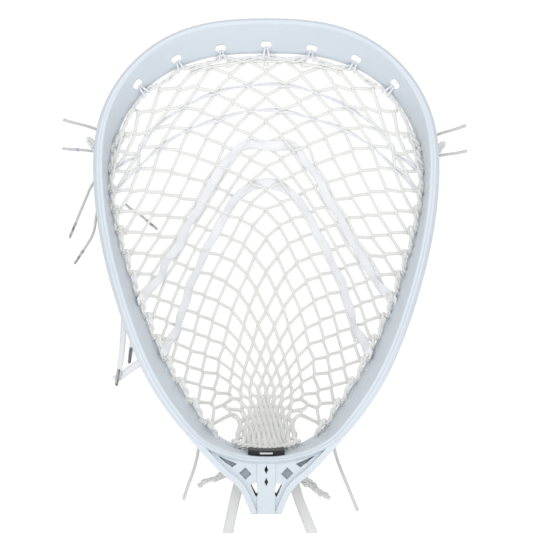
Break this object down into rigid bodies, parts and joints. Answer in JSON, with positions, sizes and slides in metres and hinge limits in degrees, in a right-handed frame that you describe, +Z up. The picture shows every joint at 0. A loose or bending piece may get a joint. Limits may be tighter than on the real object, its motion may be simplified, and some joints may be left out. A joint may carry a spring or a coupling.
{
  "type": "goalie lacrosse head",
  "caption": "Strung goalie lacrosse head: egg-shaped moulded rim with scoop, deep mesh pocket, shooting laces, ball-stop pad and an open octagonal shaft socket.",
  "frame": {"origin": "centre of the shaft socket's mouth, on the socket's axis", "axes": "+Z up the head towards the scoop, -Y the face that receives the ball, +Y the way the pocket hangs back"},
  "size_m": [0.3615, 0.145, 0.4986],
  "materials": {
    "frame_plastic": "very pale blue-white moulded nylon with a soft satin sheen",
    "pad_foam": "matt black closed-cell foam",
    "mesh_cord": "warm white knitted mesh cord",
    "string_cord": "white braided nylon cord",
    "lace_weave": "white flat woven lace with a cool tint",
    "tip_plastic": "smoky clear plastic sleeve and melted cord"
  },
  "bodies": {
    "root": {"head_frame": "frame_plastic", "ball_stop_pad": "pad_foam", "mesh_pocket": "mesh_cord", "top_string": "string_cord", "left_sidewall_string": "string_cord", "right_sidewall_string": "string_cord", "bottom_string": "string_cord", "upper_shooting_string": "string_cord", "lower_shooting_string": "string_cord", "outer_shooting_lace": "lace_weave", "inner_shooting_lace": "lace_weave", "left_upper_cord_tail": "string_cord", "left_lower_cord_tail": "string_cord", "right_upper_cord_tail": "string_cord", "right_lower_cord_tail": "string_cord", "left_long_cord_tail": "string_cord", "left_short_cord_tail": "string_cord", "left_inner_cord_tail": "string_cord", "left_outer_lace_tail": "lace_weave", "left_middle_lace_tail": "lace_weave", "left_folded_lace_tail": "lace_weave", "left_bottom_cord_tail": "string_cord", "right_bottom_cord_tail": "string_cord", "left_bottom_lace_tail": "lace_weave", "right_bottom_lace_tail": "lace_weave", "left_mesh_tail": "mesh_cord", "right_mesh_tail": "mesh_cord", "left_long_cord_tip": "tip_plastic", "left_short_cord_tip": "tip_plastic", "left_inner_cord_tip": "tip_plastic", "left_outer_lace_tip": "tip_plastic", "left_middle_lace_tip": "tip_plastic", "left_lower_cord_tip": "tip_plastic", "left_rail_knot": "mesh_cord", "right_rail_knot": "mesh_cord"}
  },
  "joints": []
}
